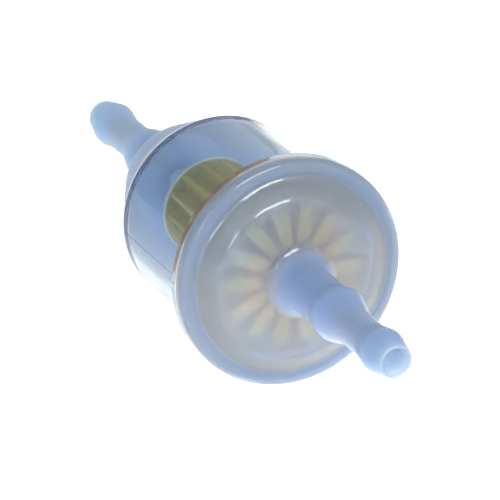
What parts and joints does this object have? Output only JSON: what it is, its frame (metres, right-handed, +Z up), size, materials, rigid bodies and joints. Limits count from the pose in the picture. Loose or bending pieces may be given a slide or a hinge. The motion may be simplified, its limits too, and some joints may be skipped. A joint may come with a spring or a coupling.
{
  "type": "fuel filter",
  "caption": "Inline fuel filter with a clear cup, a milky domed cap, a pleated paper element and a stepped hose tail at each end.",
  "frame": {"origin": "on the filter's axis, halfway between the two hose tail tips", "axes": "+X along the axis towards the outlet, on the domed cap's side; +Z up with the filter lying in a level fuel line"},
  "size_m": [0.1178, 0.0384, 0.0384],
  "materials": {
    "milky_plastic": "smooth, milky, translucent",
    "clear_plastic": "smooth, clear with a blue tint",
    "collar_card": "matt pressed paper",
    "filter_paper": "matt, resin-treated, amber",
    "seam_glue": "satin, cream",
    "end_disc_plastic": "satin, amber glue face inside a pale rim"
  },
  "bodies": {
    "root": {"outlet_cap": "milky_plastic", "inlet_cup": "clear_plastic", "collar_ring": "collar_card", "pleated_paper": "filter_paper", "side_seam": "seam_glue", "end_disc": "end_disc_plastic"}
  },
  "joints": []
}
